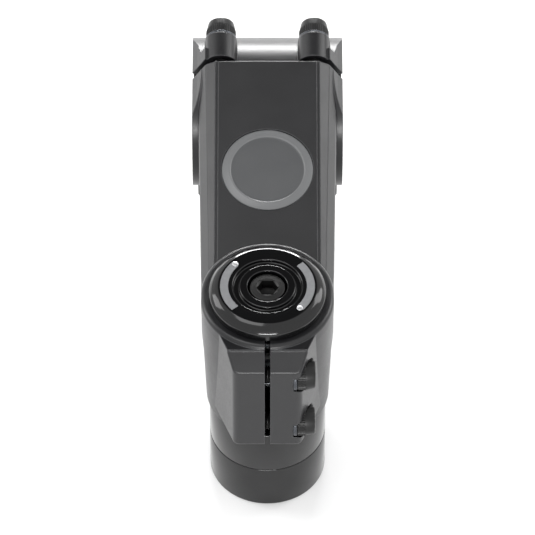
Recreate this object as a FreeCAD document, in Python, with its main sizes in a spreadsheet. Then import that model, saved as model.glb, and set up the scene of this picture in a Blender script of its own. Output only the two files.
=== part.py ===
"""Threadless bicycle handlebar stem with faceplate, bolts, top cap, star nut and two spacers.

Frame: the origin is on the steerer axis in the stem's bottom face, +Z runs up the steerer, +Y forward
to the handlebar and +X to the rider's right. Millimetres throughout.
"""
import FreeCAD, Part
import math
import os
import re
import Sketcher

DRIVING_SIZES = {
    # stem geometry
    "reach": 80.0,
    "rise": 7.0,
    "axis_height": 18.0,
    "bar_radius": 15.9,
    "steerer_radius": 14.3,
    # steerer barrel
    "barrel_height": 40.0,
    "barrel_foot_radius": 16.8,
    "barrel_top_radius": 18.0,
    "collar_round": 1.3,
    "lip_forward": 1.7,
    "lip_height": 3.2,
    "foot_chamfer": 0.8,
    "relief_radius": 14.8,
    "lower_land": 12.0,
    "upper_land": 12.0,
    # extension between barrel and bar clamp
    "panel_half": 14.4,
    "panel_back_height": 38.4,
    "rear_narrowing": 1.7,
    "flank_forward": 15.5,
    "shoulder_fall": 0.57,
    "side_fall": 1.95,
    "belly_bevel": 3.6,
    "side_round": 2.5,
    "belly_round": 2.5,
    "shoulder_round": 0.8,
    "belly_height": 2.6,
    "belly_side_rise": 5.0,
    "scallop_radius": 74.0,
    "scallop_forward": 42.0,
    "scallop_depth": 7.0,
    "core_radius": 11.5,
    "core_depth": 58.0,
    # bar clamp
    "clamp_half_height": 24.5,
    "clamp_outer_radius": 20.8,
    "clamp_foot_length": 15.5,
    "clamp_half_width": 21.0,
    "shoulder_half": 17.4,
    "shoulder_drop": 1.7,
    "side_half": 19.6,
    "side_drop": 6.0,
    "corner_drop": 8.4,
    "split_gap": 1.6,
    "split_edge": 0.5,
    "edge_groove_width": 0.7,
    "edge_groove_depth": 0.35,
    # badge and its recess
    "badge_forward": 42.5,
    "badge_radius": 12.6,
    "badge_recess_radius": 12.7,
    "badge_recess_depth": 0.8,
    "badge_thickness": 1.1,
    "badge_rim_width": 2.2,
    "badge_rim_drop": 0.45,
    # pinch ears
    "ear_rear": 22.5,
    "ear_half_width": 9.0,
    "ear_root_half": 14.6,
    "ear_root": 8.5,
    "ear_foot": 4.0,
    "ear_top": 34.4,
    "ear_side_round": 2.0,
    "ear_edge_round": 0.9,
    "slot_width": 1.5,
    "pinch_offset": 18.6,
    "pinch_low": 10.0,
    "pinch_high": 29.4,
    "pinch_seat": 7.0,
    "spotface_radius": 4.6,
    "pinch_hole_depth": 8.8,
    # five millimetre bolts
    "small_shank_radius": 2.5,
    "small_hole_radius": 2.56,
    "small_clearance_radius": 2.75,
    "small_head_radius": 4.2,
    "small_head_tip_radius": 3.6,
    "small_head_height": 5.0,
    "small_socket": 4.0,
    "small_socket_depth": 3.0,
    "face_bolt_length": 20.0,
    "pinch_bolt_length": 16.0,
    "washer_radius": 4.35,
    "face_washer_thickness": 0.8,
    "pinch_washer_thickness": 1.0,
    # faceplate
    "face_bolt_half_spacing": 13.0,
    "face_bolt_offset": 20.0,
    "face_hole_depth": 12.0,
    "lug_radius": 4.5,
    "lug_front": 9.8,
    "wing_front": 5.6,
    "lug_round": 0.8,
    # top cap and its six millimetre bolt
    "cap_radius": 15.8,
    "cap_thickness": 4.4,
    "cap_edge_height": 2.4,
    "cap_flat_radius": 14.2,
    "cap_groove_inner": 7.6,
    "cap_groove_outer": 9.4,
    "cap_groove_depth": 1.0,
    "cap_spigot_radius": 13.9,
    "cap_spigot_depth": 3.5,
    "cap_seat": 38.6,
    "cap_recess_radius": 5.4,
    "cap_hole_radius": 3.2,
    "cap_shank_radius": 3.0,
    "cap_head_radius": 5.0,
    "cap_head_tip_radius": 4.8,
    "cap_head_height": 5.4,
    "cap_socket": 5.0,
    "cap_socket_depth": 3.2,
    "cap_bolt_length": 25.0,
    # star nut
    "nut_bottom": 14.0,
    "nut_height": 12.0,
    "nut_radius": 5.2,
    "nut_thread_radius": 3.06,
    "star_outer": 12.0,
    "star_inner": 9.0,
    "star_thickness": 0.9,
    "star_low": 15.5,
    "star_high": 22.0,
    # spacers
    "spacer_outer": 16.0,
    "spacer_inner": 14.6,
    "spacer_height": 15.0,
    "spacer_chamfer": 0.5,
}

LIP_FACETS = 6
STAR_CLAWS = 8
BIG = 60.0
LABELLED = []

document = FreeCAD.newDocument("handlebar_stem")
sheet = document.addObject("Spreadsheet::Sheet", "sizes")
for row, (alias, value) in enumerate(DRIVING_SIZES.items(), start=1):
    sheet.set(f"A{row}", alias)
    sheet.set(f"B{row}", str(value))
    sheet.setAlias(f"B{row}", alias)
document.recompute()


def cell(alias):
    """The number held by a cell of the sheet."""
    return float(sheet.get(alias))


def bound(formula):
    """The formula with its aliases pointed at the sheet."""
    return re.sub(r"[a-z_]+", lambda word: ("sizes." if word[0] in DRIVING_SIZES else "") + word[0], formula)


RISE = "rise * 1deg"
BAR_FORWARD = f"( reach * cos( {RISE} ) )"
BAR_HEIGHT = f"( axis_height + reach * sin( {RISE} ) )"
PANEL_FRONT = f"( {BAR_FORWARD} - clamp_half_height * sin( {RISE} ) )"
PANEL_FRONT_HEIGHT = f"( {BAR_HEIGHT} + clamp_half_height * cos( {RISE} ) )"
PANEL_SLOPE = f"( ( {PANEL_FRONT_HEIGHT} - panel_back_height ) / ( {PANEL_FRONT} - barrel_top_radius ) )"
PANEL_TURN = f"atan( {PANEL_SLOPE} )"


def along(forward, normal):
    """Y and Z formulas of a point given along the stem axis from the bar axis and square to that axis."""
    y = f"{BAR_FORWARD} + ( {forward} ) * cos( {RISE} ) - ( {normal} ) * sin( {RISE} )"
    z = f"{BAR_HEIGHT} + ( {forward} ) * sin( {RISE} ) + ( {normal} ) * cos( {RISE} )"
    return y, z


def bind(item, values):
    """Bind several properties of one object to formulas."""
    for name, formula in values.items():
        item.setExpression(name, bound(formula))


def new_body(label):
    body = document.addObject("PartDesign::Body", label)
    body.Label = label
    LABELLED.append(body)
    return body


def new_sketch(body, name, plane, offset=None, turn=None):
    """A sketch on an origin plane of its own body, moved by offset formulas and turned about its own X."""
    sketch = body.newObject("Sketcher::SketchObject", name)
    support = next(f for f in body.Origin.OriginFeatures if f.Role == plane)
    sketch.AttachmentSupport = [(support, "")]
    sketch.MapMode = "FlatFace"
    sketch.AttachmentOffset = FreeCAD.Placement(
        FreeCAD.Vector(), FreeCAD.Rotation(FreeCAD.Vector(1, 0, 0), 5.0 if turn else 0.0))
    bind(sketch, {f"AttachmentOffset.Base.{axis}": text for axis, text in (offset or {}).items()})
    if turn:
        bind(sketch, {"AttachmentOffset.Rotation.Angle": turn})
    return sketch


def add_outline(sketch, points):
    """A closed polygon whose corners are held by formulas for their X and Y."""
    first = len(sketch.Geometry)
    count = len(points)
    start = [FreeCAD.Vector(10 * math.cos(math.tau * i / count), 10 * math.sin(math.tau * i / count), 0)
             for i in range(count)]
    for i in range(count):
        sketch.addGeometry(Part.LineSegment(start[i], start[(i + 1) % count]), False)
    for i, (x, y) in enumerate(points):
        before = first + (i - 1) % count
        sketch.addConstraint(Sketcher.Constraint("Coincident", before, 2, first + i, 1))
        for kind, value, formula in (("DistanceX", start[i].x, x), ("DistanceY", start[i].y, y)):
            index = sketch.addConstraint(Sketcher.Constraint(kind, first + i, 1, value))
            sketch.setExpression(f"Constraints[{index}]", bound(formula))


def add_circle(sketch, x, y, radius):
    """A circle whose centre and radius are held by formulas."""
    item = sketch.addGeometry(Part.Circle(FreeCAD.Vector(1, 1, 0), FreeCAD.Vector(0, 0, 1), 5), False)
    for kind, formula in (("DistanceX", x), ("DistanceY", y)):
        index = sketch.addConstraint(Sketcher.Constraint(kind, item, 3, 1.0))
        sketch.setExpression(f"Constraints[{index}]", bound(formula))
    index = sketch.addConstraint(Sketcher.Constraint("Radius", item, 5.0))
    sketch.setExpression(f"Constraints[{index}]", bound(radius))


def mirrored(points):
    """Right-hand corners, listed top to bottom, followed by their mirror images bottom to top."""
    return points + [(f"-( {x} )", y) for x, y in reversed(points)]


def extrude(body, kind, name, sketch, length, reverse=False, midplane=False):
    """A Pad or a Pocket of a sketch."""
    feature = body.newObject(f"PartDesign::{kind}", name)
    feature.Profile = sketch
    feature.Reversed = reverse
    feature.Midplane = midplane
    bind(feature, {"Length": length})
    return feature


def turned(body, kind, name, sketch, axis="V_Axis"):
    """A full Revolution or Groove about a sketch axis."""
    feature = body.newObject(f"PartDesign::{kind}", name)
    feature.Profile = sketch
    feature.ReferenceAxis = (sketch, [axis])
    feature.Angle = 360.0
    return feature


def cut_checked(body, feature):
    """Recompute and make sure that a cut took material away."""
    document.recompute()
    if "Invalid" in feature.State or feature.Shape.isNull():
        raise RuntimeError(f"{body.Label}.{feature.Name}: {feature.State}")
    before = feature.BaseFeature.Shape.Volume
    if feature.Shape.Volume > before - 0.01:
        raise RuntimeError(f"{body.Label}.{feature.Name} cuts nothing")


def rounded(body, name, radius, wanted, kind="Fillet"):
    """Fillet or chamfer the tip's edges that wanted accepts, given an edge's middle and its length."""
    document.recompute()
    base = body.Tip
    names = []
    for number, edge in enumerate(base.Shape.Edges, start=1):
        middle = edge.valueAt((edge.FirstParameter + edge.LastParameter) / 2)
        if wanted(middle, edge.Length):
            names.append(f"Edge{number}")
    if not names:
        raise RuntimeError(f"{body.Label}.{name} finds no edge")
    feature = body.newObject(f"PartDesign::{kind}", name)
    feature.Base = (base, names)
    bind(feature, {"Radius" if kind == "Fillet" else "Size": radius})
    document.recompute()
    if "Invalid" in feature.State or not feature.Shape.isValid():
        raise RuntimeError(f"{body.Label}.{name}: {feature.State}")
    return feature


def place(body, x, y, z, axis=None, angle=None):
    """Set a body's Placement from formulas."""
    turn = FreeCAD.Rotation(FreeCAD.Vector(*axis), 5.0) if axis else FreeCAD.Rotation()
    body.Placement = FreeCAD.Placement(FreeCAD.Vector(), turn)
    bind(body, {"Placement.Base.x": x, "Placement.Base.y": y, "Placement.Base.z": z})
    if axis:
        bind(body, {"Placement.Rotation.Angle": angle})


# ---------------------------------------------------------------- stem body
def make_stem_body():
    body = new_body("stem_body")

    split = {"y": BAR_HEIGHT, "z": f"-( {BAR_FORWARD} )"}

    def section(name, forward, narrower):
        """Upright section of the extension; sections with the same slopes keep every side between them flat."""
        top = f"( panel_back_height + ( {forward} - barrel_top_radius ) * {PANEL_SLOPE} )"
        sketch = new_sketch(body, name, "XZ_Plane", {"z": f"-( {forward} )"})
        shoulder = f"{top} - shoulder_fall * ( shoulder_half - {narrower} - panel_half )"
        add_outline(sketch, mirrored([
            ("panel_half", top),
            (f"shoulder_half - {narrower}", shoulder),
            (f"side_half - {narrower}", f"{shoulder} - ( side_half - shoulder_half ) * side_fall"),
            (f"side_half - {narrower}", "belly_height + belly_side_rise"),
            (f"side_half - {narrower} - belly_bevel", "belly_height"),
        ]))
        return sketch

    extension = body.newObject("PartDesign::AdditiveLoft", "extension")
    extension.Profile = section("extension_front", f"( {BAR_FORWARD} + 5 )", "0")
    extension.Sections = [section("extension_rear", "0", "rear_narrowing")]
    extension.Ruled = True
    long_edge = 0.9 * cell("reach")
    side_line = 0.5 * (cell("shoulder_half") + cell("side_half")) - 0.85
    rounded(body, "side_edges", "side_round",
            lambda middle, length: length > long_edge and abs(middle.x) > side_line)
    rounded(body, "belly_edges", "belly_round",
            lambda middle, length: length > long_edge and middle.z < cell("belly_side_rise"))
    rounded(body, "shoulder_edges", "shoulder_round",
            lambda middle, length: length > long_edge and cell("panel_half") + 1 < abs(middle.x) < side_line)

    belly = new_sketch(body, "scallop_side", "YZ_Plane")
    add_circle(belly, "scallop_forward", "belly_height + scallop_depth - scallop_radius", "scallop_radius")
    cut_checked(body, extrude(body, "Pocket", "scallop", belly, str(BIG), midplane=True))

    flanks = new_sketch(body, "rear_flank_plan", "XY_Plane", {"z": "-1"})
    for side in (1, -1):
        add_outline(flanks, [
            (f"{side} * ( barrel_foot_radius - 0.4 )", "-1"),
            (f"{side} * ( side_half - rear_narrowing + 0.4 )", "flank_forward"),
            (f"{side} * ( side_half + 2 )", "flank_forward"),
            (f"{side} * ( side_half + 2 )", "-1"),
        ])
    cut_checked(body, extrude(body, "Pocket", "rear_flanks", flanks, str(BIG), reverse=True))

    profile = new_sketch(body, "barrel_profile", "YZ_Plane")
    add_outline(profile, [
        ("0", "0"),
        ("barrel_foot_radius - foot_chamfer", "0"),
        ("barrel_foot_radius", "foot_chamfer"),
        ("barrel_top_radius", "barrel_height - 4"),
        ("barrel_top_radius", "barrel_height"),
        ("0", "barrel_height"),
    ])
    turned(body, "Revolution", "barrel", profile)
    rounded(body, "collar_edge", "collar_round",
            lambda middle, length: abs(middle.z - cell("barrel_height")) < 0.01
            and length > cell("barrel_top_radius"))

    lip = new_sketch(body, "front_lip_profile", "YZ_Plane", {"x": "lip_forward"})
    turns = [90 - 90 * i / LIP_FACETS for i in range(LIP_FACETS + 1)]
    add_outline(lip, [("0", "barrel_height - lip_height"), ("0", "barrel_height")] + [
        (f"barrel_top_radius - collar_round * ( 1 - cos( {turn}deg ) )",
         f"barrel_height - collar_round * ( 1 - sin( {turn}deg ) )") for turn in turns
    ] + [("barrel_top_radius", "barrel_height - lip_height")])
    turned(body, "Revolution", "front_lip", lip)

    ears = new_sketch(body, "ear_plan", "XY_Plane", {"z": "ear_foot"})
    add_outline(ears, mirrored([("ear_root_half", "-ear_root"), ("ear_half_width", "-ear_rear")]))
    extrude(body, "Pad", "ears", ears, "barrel_height - 1 - ear_foot")

    shoulder = new_sketch(body, "ear_shoulder_side", "YZ_Plane")
    add_outline(shoulder, [
        ("-barrel_top_radius", "barrel_height"),
        ("-barrel_top_radius", "barrel_height - 1.6"),
        ("-ear_rear", "ear_top"),
        ("-ear_rear - 3", "ear_top"),
        ("-ear_rear - 3", "barrel_height"),
    ])
    cut_checked(body, extrude(body, "Pocket", "ear_shoulder", shoulder, str(BIG), midplane=True))
    rear = -cell("ear_rear") + 0.01
    rounded(body, "ear_side_edges", "ear_side_round",
            lambda middle, length: middle.y < rear and length > cell("ear_half_width") * 2 + 1)
    rounded(body, "ear_edges", "ear_edge_round",
            lambda middle, length: middle.y < rear and length > cell("ear_half_width"))

    band = new_sketch(body, "clamp_band_side", "YZ_Plane")
    add_circle(band, BAR_FORWARD, BAR_HEIGHT, "clamp_outer_radius")
    extrude(body, "Pad", "clamp_band", band, "2 * clamp_half_width", midplane=True)

    foot = new_sketch(body, "clamp_foot_front", "XZ_Plane", split, RISE)
    add_outline(foot, mirrored([
        ("side_half", "-10"),
        ("side_half", "side_drop - clamp_half_height"),
        ("side_half - belly_bevel", "-clamp_half_height"),
    ]))
    extrude(body, "Pad", "clamp_foot", foot, "clamp_foot_length")

    ahead = new_sketch(body, "split_face", "XZ_Plane", split, RISE)
    add_outline(ahead, [(f"{i} * 30", f"{j} * 30") for i, j in ((-1, -1), (1, -1), (1, 1), (-1, 1))])
    cut_checked(body, extrude(body, "Pocket", "split_cut", ahead, str(BIG), reverse=False))

    corners = new_sketch(body, "clamp_corner_outline", "XZ_Plane", split, RISE)
    for side in (1, -1):
        for end in (1, -1):
            points = [
                (f"{side} * shoulder_half", f"{end} * ( clamp_half_height - shoulder_drop )"),
                (f"{side} * side_half", f"{end} * ( clamp_half_height - side_drop )"),
                (f"{side} * clamp_half_width", f"{end} * ( clamp_half_height - corner_drop )"),
                (f"{side} * ( clamp_half_width + 2 )", f"{end} * ( clamp_half_height - corner_drop )"),
                (f"{side} * ( clamp_half_width + 2 )", f"{end} * ( clamp_half_height - shoulder_drop )"),
            ]
            add_outline(corners, points)
    cut_checked(body, extrude(body, "Pocket", "clamp_corners", corners, "2 * clamp_outer_radius", reverse=True))

    rise = math.radians(cell("rise"))
    bar_forward = cell("reach") * math.cos(rise)
    bar_height = cell("axis_height") + cell("reach") * math.sin(rise)

    def on_split_rim(middle, length):
        """True for the upper edges of the split face."""
        forward = (middle.y - bar_forward) * math.cos(rise) + (middle.z - bar_height) * math.sin(rise)
        return abs(forward) < 0.01 and middle.z > bar_height + cell("bar_radius")

    rounded(body, "split_rim", "split_edge", on_split_rim, kind="Chamfer")

    bar = new_sketch(body, "bar_bore_side", "YZ_Plane")
    add_circle(bar, BAR_FORWARD, BAR_HEIGHT, "bar_radius")
    cut_checked(body, extrude(body, "Pocket", "bar_bore", bar, str(BIG), midplane=True))

    core = new_sketch(body, "core_end", "XZ_Plane", split, RISE)
    add_circle(core, "0", "0", "core_radius")
    cut_checked(body, extrude(body, "Pocket", "core", core, "core_depth", reverse=True))

    steerer = new_sketch(body, "steerer_bore_plan", "XY_Plane", {"z": "barrel_height + 5"})
    add_circle(steerer, "0", "0", "steerer_radius")
    cut_checked(body, extrude(body, "Pocket", "steerer_bore", steerer, "barrel_height + 10"))

    relief = new_sketch(body, "bore_relief_profile", "YZ_Plane")
    add_outline(relief, [
        ("relief_radius", "lower_land"),
        ("relief_radius", "barrel_height - upper_land"),
        ("steerer_radius - 1", "barrel_height - upper_land"),
        ("steerer_radius - 1", "lower_land"),
    ])
    cut_checked(body, turned(body, "Groove", "bore_relief", relief))

    slot = new_sketch(body, "slot_plan", "XY_Plane", {"z": "barrel_height + 5"})
    add_outline(slot, mirrored([("slot_width / 2", "-10"), ("slot_width / 2", "-ear_rear - 4")]))
    cut_checked(body, extrude(body, "Pocket", "slot", slot, "barrel_height + 10"))

    for name, height in (("upper", "pinch_high"), ("lower", "pinch_low")):
        hole = new_sketch(body, f"pinch_hole_{name}_end", "YZ_Plane", {"z": "-pinch_hole_depth"})
        add_circle(hole, "-pinch_offset", height, "small_hole_radius")
        length = "pinch_hole_depth + pinch_seat + 1"
        cut_checked(body, extrude(body, "Pocket", f"pinch_hole_{name}", hole, length, reverse=True))
        seat = new_sketch(body, f"spotface_{name}_end", "YZ_Plane", {"z": "pinch_seat"})
        add_circle(seat, "-pinch_offset", height, "spotface_radius")
        cut_checked(body, extrude(body, "Pocket", f"spotface_{name}", seat, "12", reverse=True))

    bolts = new_sketch(body, "face_bolt_hole_pattern", "XZ_Plane", split, RISE)
    for side in (1, -1):
        for end in (1, -1):
            add_circle(bolts, f"{side} * face_bolt_half_spacing", f"{end} * face_bolt_offset", "small_hole_radius")
    cut_checked(body, extrude(body, "Pocket", "face_bolt_holes", bolts, "face_hole_depth", reverse=True))

    panel_base = {"y": "barrel_top_radius", "z": "panel_back_height"}
    reach_along = f"( badge_forward - barrel_top_radius ) / cos( {PANEL_TURN} )"
    recess = new_sketch(body, "badge_recess_outline", "XY_Plane", panel_base, PANEL_TURN)
    add_circle(recess, "0", reach_along, "badge_recess_radius")
    cut_checked(body, extrude(body, "Pocket", "badge_recess", recess, "badge_recess_depth"))

    grooves = new_sketch(body, "edge_groove_outline", "XY_Plane", panel_base, PANEL_TURN)
    for side in (1, -1):
        inner = f"{side} * ( panel_half - edge_groove_width )"
        outer = f"{side} * panel_half"
        add_outline(grooves, [(inner, "-5.5"), (outer, "-5.5"), (outer, "62"), (inner, "62")])
    cut_checked(body, extrude(body, "Pocket", "edge_grooves", grooves, "edge_groove_depth"))
    return body


# ---------------------------------------------------------------- faceplate and badge
def make_faceplate():
    """The clamp's front half, drawn in its own frame: Y along the stem axis from the bar, Z square to it."""
    body = new_body("faceplate")
    band = new_sketch(body, "band_side", "YZ_Plane")
    add_circle(band, "0", "0", "clamp_outer_radius")
    extrude(body, "Pad", "band", band, "2 * clamp_half_width", midplane=True)

    lugs = new_sketch(body, "lug_column_front", "XZ_Plane", {"z": "-split_gap"})
    tips = new_sketch(body, "lug_tip_front", "XZ_Plane", {"z": "-split_gap"})
    wings = new_sketch(body, "wing_front_outline", "XZ_Plane", {"z": "-split_gap"})
    for side in (1, -1):
        inner = f"{side} * ( face_bolt_half_spacing - lug_radius )"
        outer = f"{side} * ( face_bolt_half_spacing + lug_radius )"
        add_outline(lugs, [
            (inner, "-face_bolt_offset"),
            (outer, "-face_bolt_offset"),
            (outer, "face_bolt_offset"),
            (inner, "face_bolt_offset"),
        ])
        add_outline(wings, [
            (f"{side} * face_bolt_half_spacing", "-face_bolt_offset"),
            (f"{side} * shoulder_half", "shoulder_drop - clamp_half_height"),
            (f"{side} * side_half", "side_drop - clamp_half_height"),
            (f"{side} * clamp_half_width", "corner_drop - clamp_half_height"),
            (f"{side} * clamp_half_width", "clamp_half_height - corner_drop"),
            (f"{side} * side_half", "clamp_half_height - side_drop"),
            (f"{side} * shoulder_half", "clamp_half_height - shoulder_drop"),
            (f"{side} * face_bolt_half_spacing", "face_bolt_offset"),
        ])
        for end in (1, -1):
            add_circle(tips, f"{side} * face_bolt_half_spacing", f"{end} * face_bolt_offset", "lug_radius")
    extrude(body, "Pad", "lug_columns", lugs, "lug_front - split_gap", reverse=True)
    extrude(body, "Pad", "lug_tips", tips, "lug_front - split_gap", reverse=True)
    extrude(body, "Pad", "wings", wings, "wing_front - split_gap", reverse=True)

    corners = new_sketch(body, "corner_outline", "XZ_Plane")
    for side in (1, -1):
        for end in (1, -1):
            add_outline(corners, [
                (f"{side} * shoulder_half", f"{end} * ( clamp_half_height - shoulder_drop )"),
                (f"{side} * side_half", f"{end} * ( clamp_half_height - side_drop )"),
                (f"{side} * clamp_half_width", f"{end} * ( clamp_half_height - corner_drop )"),
                (f"{side} * ( clamp_half_width + 2 )", f"{end} * ( clamp_half_height - corner_drop )"),
                (f"{side} * ( clamp_half_width + 2 )", f"{end} * ( clamp_half_height - shoulder_drop )"),
            ])
    cut_checked(body, extrude(body, "Pocket", "corners", corners, str(BIG), reverse=False))

    behind = new_sketch(body, "split_face", "XZ_Plane", {"z": "-split_gap"})
    add_outline(behind, [(f"{i} * 30", f"{j} * 30") for i, j in ((-1, -1), (1, -1), (1, 1), (-1, 1))])
    cut_checked(body, extrude(body, "Pocket", "split_cut", behind, str(BIG), reverse=True))

    bar = new_sketch(body, "bar_bore_side", "YZ_Plane")
    add_circle(bar, "0", "0", "bar_radius")
    cut_checked(body, extrude(body, "Pocket", "bar_bore", bar, str(BIG), midplane=True))

    holes = new_sketch(body, "bolt_hole_pattern", "XZ_Plane")
    seats = new_sketch(body, "bolt_seat_pattern", "XZ_Plane", {"z": "-lug_front"})
    for side in (1, -1):
        for end in (1, -1):
            centre = f"{side} * face_bolt_half_spacing", f"{end} * face_bolt_offset"
            add_circle(holes, *centre, "small_clearance_radius")
            add_circle(seats, *centre, "lug_radius")
    cut_checked(body, extrude(body, "Pocket", "bolt_holes", holes, "30"))
    cut_checked(body, extrude(body, "Pocket", "bolt_seats", seats, "20"))
    place(body, "0", BAR_FORWARD, BAR_HEIGHT, (1, 0, 0), RISE)
    return body


def make_badge():
    """Round badge in the panel's recess: a flat face inside a lower bevelled rim."""
    body = new_body("badge_disc")
    profile = new_sketch(body, "badge_profile", "XZ_Plane")
    add_outline(profile, [
        ("0", "0"),
        ("badge_radius", "0"),
        ("badge_radius", "badge_thickness - badge_rim_drop"),
        ("badge_radius - badge_rim_width", "badge_thickness"),
        ("badge_radius - badge_rim_width - 0.4", "badge_thickness - 0.25"),
        ("0", "badge_thickness - 0.25"),
    ])
    turned(body, "Revolution", "badge", profile)
    panel = f"panel_back_height + ( badge_forward - barrel_top_radius ) * {PANEL_SLOPE}"
    y = f"badge_forward + badge_recess_depth * sin( {PANEL_TURN} )"
    z = f"{panel} - badge_recess_depth * cos( {PANEL_TURN} )"
    place(body, "0", y, z, (1, 0, 0), PANEL_TURN)
    return body


# ---------------------------------------------------------------- fasteners
def make_bolt(label, size, length):
    """Socket head cap bolt standing on its seat: head above the XY plane, shank below it."""
    body = new_body(label)
    profile = new_sketch(body, "bolt_profile", "XZ_Plane")
    add_outline(profile, [
        ("0", f"-{length}"),
        (f"{size}_shank_radius - 0.5", f"-{length}"),
        (f"{size}_shank_radius", f"0.8 - {length}"),
        (f"{size}_shank_radius", "0"),
        (f"{size}_head_radius", "0"),
        (f"{size}_head_radius", f"{size}_head_height / 2"),
        (f"{size}_head_tip_radius", f"{size}_head_height - 0.3"),
        (f"{size}_head_tip_radius - 0.4", f"{size}_head_height"),
        ("0", f"{size}_head_height"),
    ])
    turned(body, "Revolution", "bolt", profile)
    socket = new_sketch(body, "socket_outline", "XY_Plane", {"z": f"{size}_head_height"})
    corner = f"{size}_socket / sqrt( 3 )"
    add_outline(socket, [
        (f"{corner} * cos( {60 * i}deg )", f"{corner} * sin( {60 * i}deg )") for i in range(6)
    ])
    cut_checked(body, extrude(body, "Pocket", "socket", socket, f"{size}_socket_depth"))
    return body


def make_washer(label, thickness):
    """Flat washer with its top face in the XY plane."""
    body = new_body(label)
    ring = new_sketch(body, "washer_outline", "XY_Plane")
    add_circle(ring, "0", "0", "washer_radius")
    add_circle(ring, "0", "0", "small_clearance_radius")
    extrude(body, "Pad", "washer", ring, thickness, reverse=True)
    return body


def make_face_fasteners():
    axis, angle = (1, 0, 0), f"{RISE} - 90deg"
    for level, end in (("upper", 1), ("lower", -1)):
        for hand, side in (("left", -1), ("right", 1)):
            x = f"{side} * face_bolt_half_spacing"
            y, z = along("lug_front + face_washer_thickness", f"{end} * face_bolt_offset")
            place(make_washer(f"face_washer_{level}_{hand}", "face_washer_thickness"), x, y, z, axis, angle)
            place(make_bolt(f"face_bolt_{level}_{hand}", "small", "face_bolt_length"), x, y, z, axis, angle)


def make_pinch_fasteners():
    for level, height in (("upper", "pinch_high"), ("lower", "pinch_low")):
        x = "pinch_seat + pinch_washer_thickness"
        where = (x, "-pinch_offset", height, (0, 1, 0), "90deg")
        place(make_washer(f"pinch_washer_{level}", "pinch_washer_thickness"), *where)
        place(make_bolt(f"pinch_bolt_{level}", "small", "pinch_bolt_length"), *where)


# ---------------------------------------------------------------- top cap, star nut, spacers
def make_top_cap():
    body = new_body("top_cap")
    profile = new_sketch(body, "cap_profile", "XZ_Plane")
    add_outline(profile, [
        ("cap_hole_radius", "barrel_height - cap_spigot_depth"),
        ("cap_spigot_radius", "barrel_height - cap_spigot_depth"),
        ("cap_spigot_radius", "barrel_height"),
        ("cap_radius", "barrel_height"),
        ("cap_radius", "barrel_height + cap_edge_height"),
        ("cap_flat_radius", "barrel_height + cap_thickness - 0.4"),
        ("cap_flat_radius - 1", "barrel_height + cap_thickness"),
        ("cap_groove_outer", "barrel_height + cap_thickness"),
        ("cap_groove_outer", "barrel_height + cap_thickness - cap_groove_depth"),
        ("cap_groove_inner", "barrel_height + cap_thickness - cap_groove_depth"),
        ("cap_groove_inner", "barrel_height + cap_thickness"),
        ("cap_recess_radius", "barrel_height + cap_thickness"),
        ("cap_recess_radius", "cap_seat"),
        ("cap_hole_radius", "cap_seat"),
    ])
    turned(body, "Revolution", "cap", profile)
    bolt = make_bolt("top_cap_bolt", "cap", "cap_bolt_length")
    place(bolt, "0", "0", "cap_seat")


def make_star_nut():
    """Threaded barrel with two star springs that grip the steerer's inside."""
    barrel = new_body("star_nut_barrel")
    ring = new_sketch(barrel, "barrel_plan", "XY_Plane", {"z": "nut_bottom"})
    add_circle(ring, "0", "0", "nut_radius")
    add_circle(ring, "0", "0", "nut_thread_radius")
    extrude(barrel, "Pad", "barrel", ring, "nut_height")
    for level in ("high", "low"):
        spring = new_body(f"star_nut_spring_{level}")
        star = new_sketch(spring, "star_plan", "XY_Plane", {"z": f"star_{level}"})
        points = []
        for claw in range(STAR_CLAWS):
            for radius, turn in (("star_inner", -0.32), ("star_outer", -0.24), ("star_outer", 0.24),
                                 ("star_inner", 0.32)):
                angle = f"{360 * (claw + turn) / STAR_CLAWS}deg"
                points.append((f"{radius} * cos( {angle} )", f"{radius} * sin( {angle} )"))
        add_outline(star, points)
        add_circle(star, "0", "0", "nut_radius")
        extrude(spring, "Pad", "star", star, "star_thickness")


def make_spacers():
    for level, count in (("upper", 1), ("lower", 2)):
        body = new_body(f"spacer_{level}")
        profile = new_sketch(body, "spacer_profile", "XZ_Plane")
        add_outline(profile, [
            ("spacer_inner", "0"),
            ("spacer_outer - spacer_chamfer", "0"),
            ("spacer_outer", "spacer_chamfer"),
            ("spacer_outer", "spacer_height - spacer_chamfer"),
            ("spacer_outer - spacer_chamfer", "spacer_height"),
            ("spacer_inner", "spacer_height"),
        ])
        turned(body, "Revolution", "spacer", profile)
        place(body, "0", "0", f"-{count} * spacer_height")


def main():
    make_stem_body()
    make_faceplate()
    make_badge()
    make_face_fasteners()
    make_pinch_fasteners()
    make_top_cap()
    make_star_nut()
    make_spacers()
    document.recompute()
    os.makedirs("parts", exist_ok=True)
    for item in document.Objects:
        if "Invalid" in item.State or "Error" in item.State:
            raise RuntimeError(f"{item.Name}: {item.State}")
    for part in LABELLED:
        if part.Shape.isNull() or not part.Shape.isValid():
            raise RuntimeError(f"{part.Label} has no valid shape")
        part.Shape.exportStep(f"parts/{part.Label}.step")
        box = part.Shape.BoundBox
        print(part.Label, round(part.Shape.Volume), box)


main()
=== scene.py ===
"""Looks of a threadless bicycle handlebar stem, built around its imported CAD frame.

Every length in the dataclasses is in millimetres in the part's own frame: the origin is on the steerer
axis in the stem's bottom face, +Z runs up the steerer and +Y forward to the handlebar.
"""
import logging
import math
from dataclasses import dataclass
from enum import Enum
from typing import Any

import bmesh
import bpy
from mathutils import Matrix, Vector


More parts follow.
